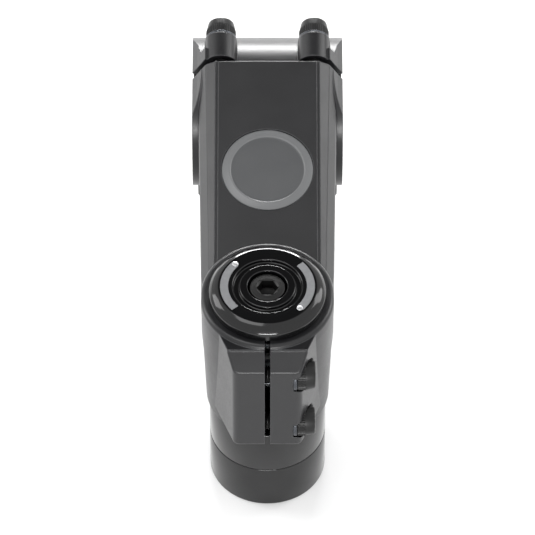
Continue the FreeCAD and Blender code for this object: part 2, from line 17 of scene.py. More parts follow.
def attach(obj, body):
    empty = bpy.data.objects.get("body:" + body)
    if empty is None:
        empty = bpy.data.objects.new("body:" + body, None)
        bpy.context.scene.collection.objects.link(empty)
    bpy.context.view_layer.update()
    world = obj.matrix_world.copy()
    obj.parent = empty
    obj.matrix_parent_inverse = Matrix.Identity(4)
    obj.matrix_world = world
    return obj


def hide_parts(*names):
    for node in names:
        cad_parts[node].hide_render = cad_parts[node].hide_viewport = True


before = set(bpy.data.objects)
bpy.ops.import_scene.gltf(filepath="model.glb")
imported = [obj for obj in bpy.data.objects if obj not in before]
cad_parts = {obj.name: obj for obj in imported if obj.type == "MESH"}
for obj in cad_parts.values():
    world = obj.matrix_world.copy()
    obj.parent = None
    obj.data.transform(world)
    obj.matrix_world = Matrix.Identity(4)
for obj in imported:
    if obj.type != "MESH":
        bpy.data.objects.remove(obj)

MM = 0.001
LOG = logging.getLogger("handlebar_stem")
# Points nearer than this, in metres, are one point.
SAME_POINT = 1e-7
# A profile point nearer the axis than this, in millimetres, is on it.
ON_AXIS = 1e-6
# The sum of two noise textures lies mostly between these.
NOISE_SUM = (0.6, 1.4)
# Cosine between the true and the rounded normal where the painted edge highlight begins, and where it is
# full.
EDGE_HIGHLIGHT = (0.995, 0.9)
Profile = list[tuple[float, float]]


# ---------------------------------------------------------------- colours and nodes
def linear(code: str) -> tuple[float, float, float, float]:
    """Turn an sRGB colour into the linear one that the shaders take.

    Args:
        code: Six hex digits, such as "1b1c1e".

    Returns:
        Linear red, green and blue, and an alpha of one.
    """
    channels = (int(code[i:i + 2], 16) / 255 for i in (0, 2, 4))
    return (*(c / 12.92 if c <= 0.04045 else ((c + 0.055) / 1.055) ** 2.4 for c in channels), 1.0)


def per_mm(size: float) -> float:
    """Texture scale that gives a pattern of a real size on Object coordinates.

    Args:
        size: The pattern's size, in millimetres.

    Returns:
        The scale.
    """
    return 1.0 / (size * MM)


def add_node(tree: bpy.types.NodeTree, kind: str, settings: dict[str, Any] | None = None,
             links: dict[str | int, bpy.types.NodeSocket] | None = None) -> bpy.types.Node:
    """Add one node with its settings and links.

    Args:
        tree: The node tree.
        kind: The node's type name.
        settings: Values by property name, input name or input number.
        links: Output sockets by the name or number of the input they feed.

    Returns:
        The new node.
    """
    node = tree.nodes.new(kind)
    for key, value in (settings or {}).items():
        if isinstance(key, str) and hasattr(node, key):
            setattr(node, key, value)
        else:
            node.inputs[key].default_value = value
    for key, socket in (links or {}).items():
        tree.links.new(socket, node.inputs[key])
    return node


# ---------------------------------------------------------------- finishes
class Surface(Enum):
    """How the fine pattern of a finish runs over a piece."""

    SPRAYED = "sprayed"
    TURNED = "turned"


@dataclass(frozen=True)
class Finish:
    """A surface finish: what the real one is made of and the marks that its making leaves.

    Each finish mixes a base and a second colour by a soft cloud, varies its roughness a little, and
    carries a fine relief: the dimples of a sprayed coat, or the rings that a lathe tool leaves.
    """

    name: str
    colour: str
    second_colour: str
    roughness: float
    roughness_change: float
    metallic: float = 0.0
    ior: float = 1.5
    surface: Surface = Surface.SPRAYED
    grain: float = 0.8
    relief: float = 0.004
    cloud: float = 9.0
    edge_highlight_colour: str = ""
    edge_width: float = 0.3
    centre: tuple[float, float, float] = (0.0, 0.0, 0.0)
    tilt: float = 0.0

    def material(self) -> bpy.types.Material:
        """Build the finish once and hand out the same material after that.

        Returns:
            The material.
        """
        found = bpy.data.materials.get(self.name)
        if found:
            return found
        made = bpy.data.materials.new(self.name)
        made.use_nodes = True
        tree = made.node_tree
        tree.nodes.clear()
        place = add_node(tree, "ShaderNodeTexCoord").outputs["Object"]
        if any(self.centre) or self.tilt:
            place = self._centred(tree, place)
        cloud = add_node(tree, "ShaderNodeTexNoise", {"Scale": per_mm(self.cloud), "Detail": 3.0},
                         {"Vector": place}).outputs["Fac"]
        fine = self._fine(tree, place)
        colour = self._colour(tree, cloud, fine)
        roughness = self._roughness(tree, cloud, fine)
        soft = add_node(tree, "ShaderNodeBevel", {"samples": 6, "Radius": self.edge_width * MM})
        bump = add_node(tree, "ShaderNodeBump", {"Strength": 1.0, "Distance": self.relief * MM},
                        {"Height": fine, "Normal": soft.outputs["Normal"]})
        shader = add_node(tree, "ShaderNodeBsdfPrincipled", {
            "Metallic": self.metallic,
            "IOR": self.ior,
        }, {"Base Color": colour, "Roughness": roughness, "Normal": bump.outputs["Normal"]})
        add_node(tree, "ShaderNodeOutputMaterial", {}, {"Surface": shader.outputs["BSDF"]})
        return made

    def _centred(self, tree: bpy.types.NodeTree, place: bpy.types.NodeSocket) -> bpy.types.NodeSocket:
        """Move and turn the pattern onto the piece's own axis.

        Args:
            tree: The material's nodes.
            place: Object coordinates.

        Returns:
            Coordinates whose Z axis is the piece's axis.
        """
        moved = add_node(tree, "ShaderNodeMapping", {
            "vector_type": "TEXTURE",
            "Location": Vector(self.centre) * MM,
            "Rotation": (math.radians(self.tilt), 0.0, 0.0),
        }, {"Vector": place})
        return moved.outputs["Vector"]

    def _fine(self, tree: bpy.types.NodeTree, place: bpy.types.NodeSocket) -> bpy.types.NodeSocket:
        """The fine relief, as a height from 0 to 1.

        Args:
            tree: The material's nodes.
            place: Coordinates on the piece.

        Returns:
            The height.
        """
        if self.surface is Surface.TURNED:
            parts = add_node(tree, "ShaderNodeSeparateXYZ", {}, {"Vector": place}).outputs
            flat = add_node(tree, "ShaderNodeCombineXYZ", {}, {"X": parts["X"], "Y": parts["Y"]})
            radius = add_node(tree, "ShaderNodeVectorMath", {"operation": "LENGTH"},
                              {0: flat.outputs["Vector"]}).outputs["Value"]
            place = add_node(tree, "ShaderNodeCombineXYZ", {},
                             {"X": radius, "Y": parts["Z"]}).outputs["Vector"]
        return add_node(tree, "ShaderNodeTexNoise", {"Scale": per_mm(self.grain), "Detail": 2.0},
                        {"Vector": place}).outputs["Fac"]

    def _colour(self, tree: bpy.types.NodeTree, cloud: bpy.types.NodeSocket,
                fine: bpy.types.NodeSocket) -> bpy.types.NodeSocket:
        """Base colour: clouded, and painted lighter along the edges where the finish has an edge colour, as a
        painted highlight.

        Args:
            tree: The material's nodes.
            cloud: The soft cloud, 0 to 1.
            fine: The fine relief, 0 to 1.

        Returns:
            The colour.
        """
        mixed = add_node(tree, "ShaderNodeMix", {
            "data_type": "RGBA", 6: linear(self.colour), 7: linear(self.second_colour)}, {0: cloud})
        if not self.edge_highlight_colour:
            return mixed.outputs[2]
        # The lighter edge colour is a painted highlight along rounded edges, broken up by the fine grain.
        round_normal = add_node(tree, "ShaderNodeBevel", {"samples": 4, "Radius": self.edge_width * MM})
        true_normal = add_node(tree, "ShaderNodeNewGeometry").outputs["True Normal"]
        facing = add_node(tree, "ShaderNodeVectorMath", {"operation": "DOT_PRODUCT"},
                          {0: round_normal.outputs["Normal"], 1: true_normal}).outputs["Value"]
        edge = add_node(tree, "ShaderNodeMapRange", {
            "From Min": EDGE_HIGHLIGHT[0], "From Max": EDGE_HIGHLIGHT[1], "To Min": 0.0, "To Max": 1.0},
            {"Value": facing})
        edge_highlight_mask = add_node(tree, "ShaderNodeMath", {"operation": "MULTIPLY"},
                        {0: edge.outputs["Result"], 1: fine})
        highlit = add_node(tree, "ShaderNodeMix", {"data_type": "RGBA", 7: linear(self.edge_highlight_colour)},
                          {0: edge_highlight_mask.outputs["Value"], 6: mixed.outputs[2]})
        return highlit.outputs[2]

    def _roughness(self, tree: bpy.types.NodeTree, cloud: bpy.types.NodeSocket,
                   fine: bpy.types.NodeSocket) -> bpy.types.NodeSocket:
        """Roughness that drifts with the cloud and the grain.

        Args:
            tree: The material's nodes.
            cloud: The soft cloud, 0 to 1.
            fine: The fine relief, 0 to 1.

        Returns:
            The roughness.
        """
        both = add_node(tree, "ShaderNodeMath", {"operation": "ADD"}, {0: cloud, 1: fine})
        ranged = add_node(tree, "ShaderNodeMapRange", {
            "From Min": NOISE_SUM[0], "From Max": NOISE_SUM[1],
            "To Min": self.roughness - self.roughness_change,
            "To Max": self.roughness + self.roughness_change}, {"Value": both.outputs["Value"]})
        return ranged.outputs["Result"]


# Satin black sprayed paint over forged alloy: a soft broad sheen with very fine orange peel, and a lighter
# edge colour that is a painted highlight along the edges.
SATIN_PAINT = Finish("satin_black_paint_on_alloy", "101012", "18181a", 0.33, 0.05,
                     grain=0.55, relief=0.006, edge_highlight_colour="4a4b4e", edge_width=0.4)
# Gloss black anodised and lacquered alloy, turned: sharp reflections with faint tool rings, and a lighter
# edge colour that is a painted highlight.
GLOSS_ANODISE = Finish("gloss_black_anodised_alloy", "050506", "09090a", 0.1, 0.03,
                       surface=Surface.TURNED, grain=0.35, relief=0.0009,
                       edge_highlight_colour="2a2b2e", edge_width=0.2)
# Black oxide on alloy steel: a dark, slightly oily metal, painted brighter on its corners as a painted
# highlight.
BLACK_OXIDE = Finish("black_oxide_steel", "26272b", "303136", 0.32, 0.07, metallic=1.0,
                     grain=0.25, relief=0.002, cloud=3.0, edge_highlight_colour="8b8d92", edge_width=0.22)
# Black zinc on stamped steel washers: a dark grey metal, a little brighter than the screws.
BLACK_ZINC = Finish("black_zinc_washer_steel", "44464a", "55575b", 0.3, 0.06, metallic=1.0,
                    grain=0.2, relief=0.0015, cloud=2.0)
# Clear zinc on the star nut's spring steel: a bright cool metal with a fine stamped grain.
ZINC_PLATE = Finish("zinc_plated_spring_steel", "a9acb0", "bcbfc2", 0.28, 0.06, metallic=1.0,
                    grain=0.2, relief=0.0015, cloud=2.0)
# Grey arcs on the cap's black flat, a painted reflection of the side lights: matt, with a slightly sandy
# edge.
REFLECTION_ARC_PAINT = Finish("grey_arcs_painted_reflection", "5d5e60", "727375", 0.55, 0.08, grain=0.12, relief=0.002, cloud=1.0)
# Two small bright metallic pips on the cap's flat.
BRIGHT_PIP_METAL = Finish("bright_metal_pips", "d6d7d9", "e6e6e8", 0.35, 0.05, metallic=1.0,
                     grain=0.1, relief=0.001, cloud=1.0)


# ---------------------------------------------------------------- mesh helpers
def finish_piece(name: str, mesh: bpy.types.Mesh, body: str,
                 stands_for: list[str]) -> bpy.types.Object:
    """Link a finished mesh as a piece of the object.

    Args:
        name: The piece's name.
        mesh: The mesh, in place in the part's frame, in metres.
        body: The CAD body that it rides on.
        stands_for: The CAD nodes that it replaces.

    Returns:
        The new object.
    """
    piece = bpy.data.objects.new(name, mesh)
    bpy.context.scene.collection.objects.link(piece)
    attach(piece, body)
    if stands_for:
        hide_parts(*stands_for)
    LOG.info("%s rides on %s, %d triangles", name, body, sum(len(p.vertices) - 2 for p in mesh.polygons))
    return piece


def tidy(mesh: bpy.types.Mesh, sharp: float = 32.0) -> bpy.types.Mesh:
    """Merge doubles, point the faces outward and shade smooth up to an angle.

    Args:
        mesh: The mesh to tidy.
        sharp: Edges that bend by more than this many degrees stay sharp.

    Returns:
        The same mesh.
    """
    shape = bmesh.new()
    shape.from_mesh(mesh)
    bmesh.ops.remove_doubles(shape, verts=shape.verts, dist=SAME_POINT)
    bmesh.ops.recalc_face_normals(shape, faces=shape.faces)
    for face in shape.faces:
        face.smooth = True
    shape.to_mesh(mesh)
    shape.free()
    mesh.set_sharp_from_angle(angle=math.radians(sharp))
    return mesh


def rounded(points: Profile, radius: float, steps: int = 4) -> Profile:
    """Round each inner corner of an open profile.

    Args:
        points: Corners as (radius, height).
        radius: Rounding radius.
        steps: Points on each rounding.

    Returns:
        The profile with its corners replaced by short curves.
    """
    made = [points[0]]
    for before, corner, after in zip(points, points[1:], points[2:]):
        here = Vector(corner)
        back, ahead = Vector(before) - here, Vector(after) - here
        reach = min(radius, 0.45 * back.length, 0.45 * ahead.length)
        start, end = here + back.normalized() * reach, here + ahead.normalized() * reach
        for i in range(steps + 1):
            t = i / steps
            made.append(tuple(start * (1 - t) ** 2 + here * 2 * t * (1 - t) + end * t ** 2))
    return made + [points[-1]]


@dataclass
class Lathe:
    """A solid turned from a profile that starts and ends on the axis, or a ring from a closed profile."""

    profile: Profile
    segments: int = 96
    closed: bool = False

    def shape(self, hexagon: dict[int, float] | None = None) -> bpy.types.Mesh:
        """Spin the profile.

        Args:
            hexagon: For a point's number, the hexagon's width across flats that replaces its circle.

        Returns:
            The mesh, in metres.
        """
        made = bmesh.new()
        rings = []
        for index, (radius, height) in enumerate(self.profile):
            if radius < ON_AXIS:
                rings.append([made.verts.new((0, 0, height * MM))])
                continue
            ring = []
            for i in range(self.segments):
                angle = math.tau * i / self.segments
                reach = radius
                if hexagon and index in hexagon:
                    reach = hexagon[index] / 2 / math.cos(angle % (math.tau / 6) - math.tau / 12)
                ring.append(made.verts.new(
                    (reach * MM * math.cos(angle), reach * MM * math.sin(angle), height * MM)))
            rings.append(ring)
        pairs = list(zip(rings, rings[1:])) + ([(rings[-1], rings[0])] if self.closed else [])
        for low, high in pairs:
            self._bridge(made, low, high)
        mesh = bpy.data.meshes.new("turned")
        made.to_mesh(mesh)
        made.free()
        return mesh

    def _bridge(self, made: bmesh.types.BMesh, low: list, high: list) -> None:
        """Join two rings, either of which may be a single point.

        Args:
            made: The mesh being built.
            low: Vertices of one ring.
            high: Vertices of the next ring.
        """
        for i in range(self.segments):
            j = (i + 1) % self.segments
            corners = [low[i % len(low)], low[j % len(low)], high[j % len(high)], high[i % len(high)]]
            unique = list(dict.fromkeys(corners))
            if len(unique) > 2:
                made.faces.new(unique)


# ---------------------------------------------------------------- geometry node trees
class NodeShape:
    """A Geometry Nodes tree with named inputs, baked to a plain mesh."""

    def __init__(self, name: str, inputs: dict[str, float | int]) -> None:
        """Start a tree.

        Args:
            name: The tree's name.
            inputs: Default of each input by its name; whole numbers make integer inputs.
        """
        self.tree = bpy.data.node_groups.new(name, "GeometryNodeTree")
        self.tree.is_modifier = True
        self.tree.interface.new_socket(name="Geometry", in_out="INPUT", socket_type="NodeSocketGeometry")
        self.tree.interface.new_socket(name="Geometry", in_out="OUTPUT", socket_type="NodeSocketGeometry")
        self.sockets = {}
        for key, value in inputs.items():
            kind = "NodeSocketInt" if isinstance(value, int) else "NodeSocketFloat"
            socket = self.tree.interface.new_socket(name=key, in_out="INPUT", socket_type=kind)
            socket.default_value = value
            self.sockets[key] = socket.identifier
        self.start = add_node(self.tree, "NodeGroupInput").outputs

    def node(self, kind: str, settings: dict[str, Any] | None = None,
             links: dict[str | int, bpy.types.NodeSocket] | None = None) -> bpy.types.bpy_prop_collection:
        """Add a node to the tree.

        Args:
            kind: The node's type name.
            settings: Values by property name, input name or input number.
            links: Output sockets by the name or number of the input they feed.

        Returns:
            The node's outputs.
        """
        return add_node(self.tree, kind, settings, links).outputs

    def end(self, geometry: list[bpy.types.NodeSocket], material: bpy.types.Material) -> None:
        """Join the geometry, realise its instances, set the material and close the tree.

        Args:
            geometry: The parts that make the shape.
            material: The material of them all.
        """
        joined = add_node(self.tree, "GeometryNodeJoinGeometry")
        for part in reversed(geometry):
            self.tree.links.new(part, joined.inputs[0])
        real = self.node("GeometryNodeRealizeInstances", {}, {0: joined.outputs[0]})
        dressed = self.node("GeometryNodeSetMaterial", {"Material": material}, {"Geometry": real[0]})
        add_node(self.tree, "NodeGroupOutput", {}, {0: dressed[0]})

    def bake(self, values: dict[str, float | int], base: bpy.types.Mesh | None = None) -> bpy.types.Mesh:
        """Run the tree and keep the result as a plain mesh.

        Args:
            values: Input values by name.
            base: The mesh that enters the tree, if it takes one.

        Returns:
            A new mesh with no modifier behind it.
        """
        carrier = bpy.data.objects.new("carrier", base or bpy.data.meshes.new("empty"))
        bpy.context.scene.collection.objects.link(carrier)
        modifier = carrier.modifiers.new("shape", "NODES")
        modifier.node_group = self.tree
        for key, value in values.items():
            modifier[self.sockets[key]] = value
        evaluated = carrier.evaluated_get(bpy.context.evaluated_depsgraph_get())
        mesh = bpy.data.meshes.new_from_object(evaluated)
        bpy.data.objects.remove(carrier)
        return mesh


def ring_tree(material: bpy.types.Material) -> NodeShape:
    """A ring of rectangular section with rounded corners, for washers and spacers.

    Args:
        material: The ring's material.

    Returns:
        The tree, with inputs Inner, Outer, Height and Rounding in metres.
    """
    shape = NodeShape("rounded_ring", {"Inner": 0.0028, "Outer": 0.0044, "Height": 0.001, "Rounding": 0.0002})
    start = shape.start
    total = shape.node("ShaderNodeMath", {"operation": "ADD"}, {0: start["Inner"], 1: start["Outer"]})
    middle = shape.node("ShaderNodeMath", {"operation": "MULTIPLY", 1: 0.5}, {0: total[0]})
    wall = shape.node("ShaderNodeMath", {"operation": "SUBTRACT"}, {0: start["Outer"], 1: start["Inner"]})
    path = shape.node("GeometryNodeCurvePrimitiveCircle", {"Resolution": 128}, {"Radius": middle[0]})
    section = shape.node("GeometryNodeCurvePrimitiveQuadrilateral", {}, {0: wall[0], 1: start["Height"]})
    soft = shape.node("GeometryNodeFilletCurve", {"mode": "POLY", "Count": 4, "Limit Radius": True},
                      {"Curve": section[0], "Radius": start["Rounding"]})
    ring = shape.node("GeometryNodeCurveToMesh", {}, {"Curve": path[0], "Profile Curve": soft[0]})
    shape.end([ring[0]], material)
    return shape


def thread_tree(material: bpy.types.Material) -> NodeShape:
    """A base mesh with a helical thread wound round its shank and ridges round its head.

    Args:
        material: The screw's material.

    Returns:
        The tree. Lengths are in metres; the thread starts at Bottom and the ridges stand at Head Middle.
    """
    shape = NodeShape("threaded_screw", {
        "Thread Radius": 0.0023, "Thread Depth": 0.00035, "Bottom": -0.019, "Thread Length": 0.014,
        "Turns": 17.5, "Ridges": 36, "Ridge Radius": 0.0041, "Ridge Width": 0.00036, "Ridge Height": 0.002,
        "Head Middle": 0.0015})
    start = shape.start
    helix = shape.node("GeometryNodeCurveSpiral", {"Resolution": 40}, {
        "Rotations": start["Turns"], "Start Radius": start["Thread Radius"],
        "End Radius": start["Thread Radius"], "Height": start["Thread Length"]})
    crest = shape.node("GeometryNodeCurvePrimitiveCircle", {"Resolution": 4},
                       {"Radius": start["Thread Depth"]})
    thread = shape.node("GeometryNodeCurveToMesh", {"Fill Caps": True},
                        {"Curve": helix[0], "Profile Curve": crest[0]})
    low = shape.node("ShaderNodeCombineXYZ", {}, {"Z": start["Bottom"]})
    lowered = shape.node("GeometryNodeTransform", {}, {"Geometry": thread[0], "Translation": low[0]})
    stations = shape.node("GeometryNodeMeshCircle", {},
                          {"Vertices": start["Ridges"], "Radius": start["Ridge Radius"]})
    size = shape.node("ShaderNodeCombineXYZ", {}, {
        "X": start["Ridge Width"], "Y": start["Ridge Width"], "Z": start["Ridge Height"]})
    bar = shape.node("GeometryNodeMeshCube", {}, {"Size": size[0]})
    where = shape.node("GeometryNodeInputPosition")
    outward = shape.node("FunctionNodeAlignRotationToVector", {"axis": "X"}, {"Vector": where[0]})
    on_corner = shape.node("FunctionNodeRotateRotation", {
        "rotation_space": "LOCAL", 1: (0, 0, math.radians(45))}, {0: outward[0]})
    ridges = shape.node("GeometryNodeInstanceOnPoints", {},
                        {"Points": stations[0], "Instance": bar[0], "Rotation": on_corner[0]})
    high = shape.node("ShaderNodeCombineXYZ", {}, {"Z": start["Head Middle"]})
    raised = shape.node("GeometryNodeTransform", {}, {"Geometry": ridges[0], "Translation": high[0]})
    shape.end([start["Geometry"], lowered[0], raised[0]], material)
    return shape


# ---------------------------------------------------------------- sub-assemblies
@dataclass
class Screw:
    """Socket head cap screw on its own axis: the seat is at height 0 and the head above it.

    The shank narrows to the thread's root below a short plain neck, and the thread is wound round that.
    The ridges stand a little proud of the head, so the blank's head is smaller by ridge_lift.
    """

    shank: float = 2.5
    length: float = 20.0
    head: float = 4.2
    head_tip: float = 3.6
    head_height: float = 5.0
    socket: float = 4.0
    socket_depth: float = 3.0
    pitch: float = 0.8
    ridges: int = 44
    ridge_lift: float = 0.14
    ridge_sink: float = 0.27
    ridge_margin: float = 0.5
    ridge_raise: float = 0.05
    play: float = 0.02
    root_depth: float = 0.45
    neck_length: float = 1.7
    neck_taper: float = 0.5
    tip_taper: float = 0.5
    tip_length: float = 0.7
    crest_height: float = 0.34
    crest_sink: float = 0.36
    thread_start: float = 0.9
    unthreaded: float = 3.2
    face_drop: float = 0.1
    face_width: float = 0.55
    softening: float = 0.35
    mouth_width: float = 0.12
    mouth_drop: float = 0.03
    hexagon_drop: float = 0.3
    drill_step: float = 0.05
    drill_cone: float = 0.6

    def blank(self) -> bpy.types.Mesh:
        """The turned blank with its hexagon socket.

        Returns:
            The mesh, in metres.
        """
        root = self.shank - self.root_depth
        neck = self.shank - self.play
        side = self.head - self.ridge_lift
        outside = rounded([
            (0.0, -self.length),
            (root - self.tip_taper, -self.length),
            (root, self.tip_length - self.length),
            (root, -self.neck_length - self.neck_taper),
            (neck, -self.neck_length),
            (neck, 0.0),
            (side, 0.0),
            (side, self.head_height / 2),
            (self.head_tip, self.head_height - self.face_drop),
            (self.socket / 2 + self.face_width, self.head_height),
        ], self.softening)
        floor = self.head_height - self.socket_depth
        mouth = len(outside)
        outside += [
            (self.socket / math.sqrt(3) + self.mouth_width, self.head_height - self.mouth_drop),
            (self.socket / 2, self.head_height - self.hexagon_drop),
            (self.socket / 2, floor),
            (self.socket / 2 - self.hexagon_drop, floor - self.drill_step),
            (0.0, floor - self.drill_cone),
        ]
        flats = {mouth + 1: self.socket, mouth + 2: self.socket}
        return Lathe(outside).shape(flats)

    def mesh(self, tree: NodeShape, place: Matrix) -> bpy.types.Mesh:
        """The whole screw in its place.

        Args:
            tree: The thread and ridge tree.
            place: Where the seat is, with the screw's axis as local Z, in metres.

        Returns:
            The mesh.
        """
        run = self.length - self.unthreaded
        made = tree.bake({
            "Thread Radius": (self.shank - self.crest_sink) * MM,
            "Thread Depth": self.crest_height * MM,
            "Bottom": (self.thread_start - self.length) * MM,
            "Thread Length": run * MM,
            "Turns": run / self.pitch,
            "Ridges": self.ridges,
            "Ridge Radius": (self.head - self.ridge_sink) * MM,
            "Ridge Height": (self.head_height / 2 - self.ridge_margin) * MM,
            "Head Middle": (self.head_height / 4 + self.ridge_raise) * MM,
        }, tidy(self.blank()))
        made.transform(place)
        return tidy(made)


def frame_at(x: float, y: float, z: float, tilt: float = 0.0, roll: float = 0.0) -> Matrix:
    """A place in the part's frame.

    Args:
        x: Millimetres to the right.
        y: Millimetres forward.
        z: Millimetres up.
        tilt: Degrees about X, applied last.
        roll: Degrees about Y, applied first.

    Returns:
        The matrix, in metres.
    """
    turn = Matrix.Rotation(math.radians(tilt), 4, "X") @ Matrix.Rotation(math.radians(roll), 4, "Y")
    return Matrix.Translation(Vector((x, y, z)) * MM) @ turn


@dataclass
class Layout:
    """Where the stem's main axes are."""

    reach: float = 80.0
    rise: float = 7.0
    axis_height: float = 18.0

    def along(self, forward: float, normal: float) -> tuple[float, float]:
        """Y and Z of a point given along the stem axis from the bar axis and square to it.

        Args:
            forward: Distance along the stem axis.
            normal: Distance square to it.

        Returns:
            Forward and up coordinates.
        """
        c, s = math.cos(math.radians(self.rise)), math.sin(math.radians(self.rise))
        run = self.reach + forward
        return run * c - normal * s, self.axis_height + run * s + normal * c


@dataclass
class ClampHardware:
    """Screws and washers of the faceplate and of the pinch ears."""

    layout: Layout
    half_spacing: float = 13.0
    offset: float = 20.0
    lug_front: float = 9.8
    face_washer: float = 0.8
    pinch_washer: float = 1.0
    pinch_seat: float = 7.0
    pinch_offset: float = 18.6
    pinch_heights: tuple[float, float] = (10.0, 29.4)
    pinch_screw_length: float = 16.0
    washer_inner: float = 2.75
    washer_outer: float = 4.35
    washer_rounding: float = 0.18

    def build(self) -> None:
        """Make every screw and washer."""
        screws = thread_tree(BLACK_OXIDE.material())
        rings = ring_tree(BLACK_ZINC.material())
        for level, end in (("upper", 1), ("lower", -1)):
            for hand, side in (("left", -1), ("right", 1)):
                y, z = self.layout.along(self.lug_front + self.face_washer, end * self.offset)
                place = frame_at(side * self.half_spacing, y, z, tilt=self.layout.rise - 90)
                name = f"{level}_{hand}"
                finish_piece(f"face_screw_{name}", Screw().mesh(screws, place), f"face_bolt_{name}",
                             [f"face_bolt_{name}"])
                self._washer(rings, place, self.face_washer, f"face_ring_{name}", "faceplate",
                             f"face_washer_{name}")
        for level, height in zip(("lower", "upper"), self.pinch_heights):
            place = frame_at(self.pinch_seat + self.pinch_washer, -self.pinch_offset, height, roll=90)
            screw = Screw(length=self.pinch_screw_length)
            finish_piece(f"pinch_screw_{level}", screw.mesh(screws, place), f"pinch_bolt_{level}",
                         [f"pinch_bolt_{level}"])
            self._washer(rings, place, self.pinch_washer, f"pinch_ring_{level}", f"pinch_washer_{level}",
                         f"pinch_washer_{level}")

    def _washer(self, rings: NodeShape, place: Matrix, thickness: float, name: str, body: str,
                node: str) -> None:
        """Make one washer under a screw's seat.

        Args:
            rings: The ring tree.
            place: The seat.
            thickness: The washer's thickness.
            name: The piece's name.
            body: The CAD body that it rides on.
            node: The CAD node that it replaces.
        """
        made = rings.bake({"Inner": self.washer_inner * MM, "Outer": self.washer_outer * MM,
                           "Height": thickness * MM, "Rounding": self.washer_rounding * MM})
        made.transform(place @ Matrix.Translation((0, 0, -thickness / 2 * MM)))
        finish_piece(name, tidy(made), body, [node])


@dataclass
class TopCap:
    """The turned cap with its groove, its grey arcs of painted reflection, two bright pips and its bolt."""

    base: float = 40.0
    thickness: float = 4.4
    radius: float = 15.8
    edge_height: float = 2.4
    flat_radius: float = 14.2
    spigot_radius: float = 13.9
    spigot_depth: float = 3.5
    groove_inner: float = 7.6
    groove_outer: float = 9.4
    groove_depth: float = 1.0
    recess_radius: float = 5.4
    hole_radius: float = 3.2
    seat: float = 38.6
    arc_radius: float = 11.7
    arc_width: float = 2.2
    arc_sweep: float = 84.0
    arc_thickness: float = 0.08
    arc_sink: float = 0.02
    pip_angle: float = 138.0
    pip_radius: float = 0.85
    pip_height: float = 0.16
    pip_shoulder: float = 0.12
    pip_sink: float = 0.04
    softening: float = 0.3

    def build(self) -> None:
        """Make the cap, its painted reflection arcs and pips, and its bolt."""
        finish_piece("cap_turned", self._cap(), "top_cap", ["top_cap"])
        self._arcs_and_pips()
        screws = thread_tree(BLACK_OXIDE.material())
        bolt = Screw(shank=3.0, length=25.0, head=5.0, head_tip=4.8, head_height=5.4, socket=5.0,
                     socket_depth=3.2, pitch=1.0, ridges=44)
        finish_piece("cap_screw", bolt.mesh(screws, frame_at(0, 0, self.seat)), "top_cap_bolt",
                     ["top_cap_bolt"])

    def _cap(self) -> bpy.types.Mesh:
        """The cap's body, turned from one closed profile.

        Returns:
            The mesh.
        """
        top = self.base + self.thickness
        low = self.base - self.spigot_depth
        corners = [
            (self.hole_radius, low), (self.spigot_radius, low), (self.spigot_radius, self.base),
            (self.radius, self.base), (self.radius, self.base + self.edge_height),
            (self.flat_radius + 0.8, top - 1.0), (self.flat_radius, top - 0.4), (self.flat_radius - 1.0, top),
            (self.groove_outer, top), (self.groove_outer - 0.1, top - self.groove_depth),
            (self.groove_inner + 0.1, top - self.groove_depth), (self.groove_inner, top),
            (self.recess_radius, top), (self.recess_radius, self.seat), (self.hole_radius, self.seat),
        ]
        soft = rounded(corners + [corners[0]], self.softening)
        mesh = Lathe(soft[:-1], segments=160, closed=True).shape()
        mesh.materials.append(GLOSS_ANODISE.material())
        return tidy(mesh, 40.0)

    def _arcs_and_pips(self) -> None:
        """Two grey arcs of painted reflection and two bright pips on the cap's flat, each a thin raised skin.
        """
        shape = NodeShape("reflection_arcs_tree", {
            "Radius": 0.0119, "Width": 0.001, "Thickness": 0.00008, "Lift": 0.0444})
        start = shape.start
        joined = add_node(shape.tree, "GeometryNodeJoinGeometry")
        for middle in (0.0, 180.0):
            arc = shape.node("GeometryNodeCurveArc", {
                "Resolution": 64, "Start Angle": math.radians(middle - self.arc_sweep / 2),
                "Sweep Angle": math.radians(self.arc_sweep)}, {"Radius": start["Radius"]})
            section = shape.node("GeometryNodeCurvePrimitiveQuadrilateral", {},
                                 {0: start["Width"], 1: start["Thickness"]})
            band = shape.node("GeometryNodeCurveToMesh", {"Fill Caps": True},
                              {"Curve": arc[0], "Profile Curve": section[0]})
            shape.tree.links.new(band[0], joined.inputs[0])
        lift = shape.node("ShaderNodeCombineXYZ", {}, {"Z": start["Lift"]})
        raised = shape.node("GeometryNodeTransform", {},
                            {"Geometry": joined.outputs[0], "Translation": lift[0]})
        shape.end([raised[0]], REFLECTION_ARC_PAINT.material())
        top = self.base + self.thickness
        made = shape.bake({"Radius": self.arc_radius * MM, "Width": self.arc_width * MM,
                           "Thickness": self.arc_thickness * MM, "Lift": (top - self.arc_sink) * MM})
        finish_piece("cap_reflection_arcs", tidy(made), "top_cap", [])
        for hand, angle in (("left", self.pip_angle), ("right", self.pip_angle + 180.0)):
            turn = math.radians(angle)
            dome = rounded([(0.0, 0.0), (self.pip_radius, 0.0), (self.pip_radius, self.pip_shoulder),
                            (0.0, self.pip_height)], 0.05)
            pip = Lathe(dome, segments=24).shape()
            across = Vector((math.cos(turn), math.sin(turn), 0)) * self.arc_radius
            place = across + Vector((0, 0, top - self.pip_sink))
            pip.transform(Matrix.Translation(place * MM))
            pip.materials.append(BRIGHT_PIP_METAL.material())
            finish_piece(f"cap_pip_{hand}", tidy(pip), "top_cap", [])


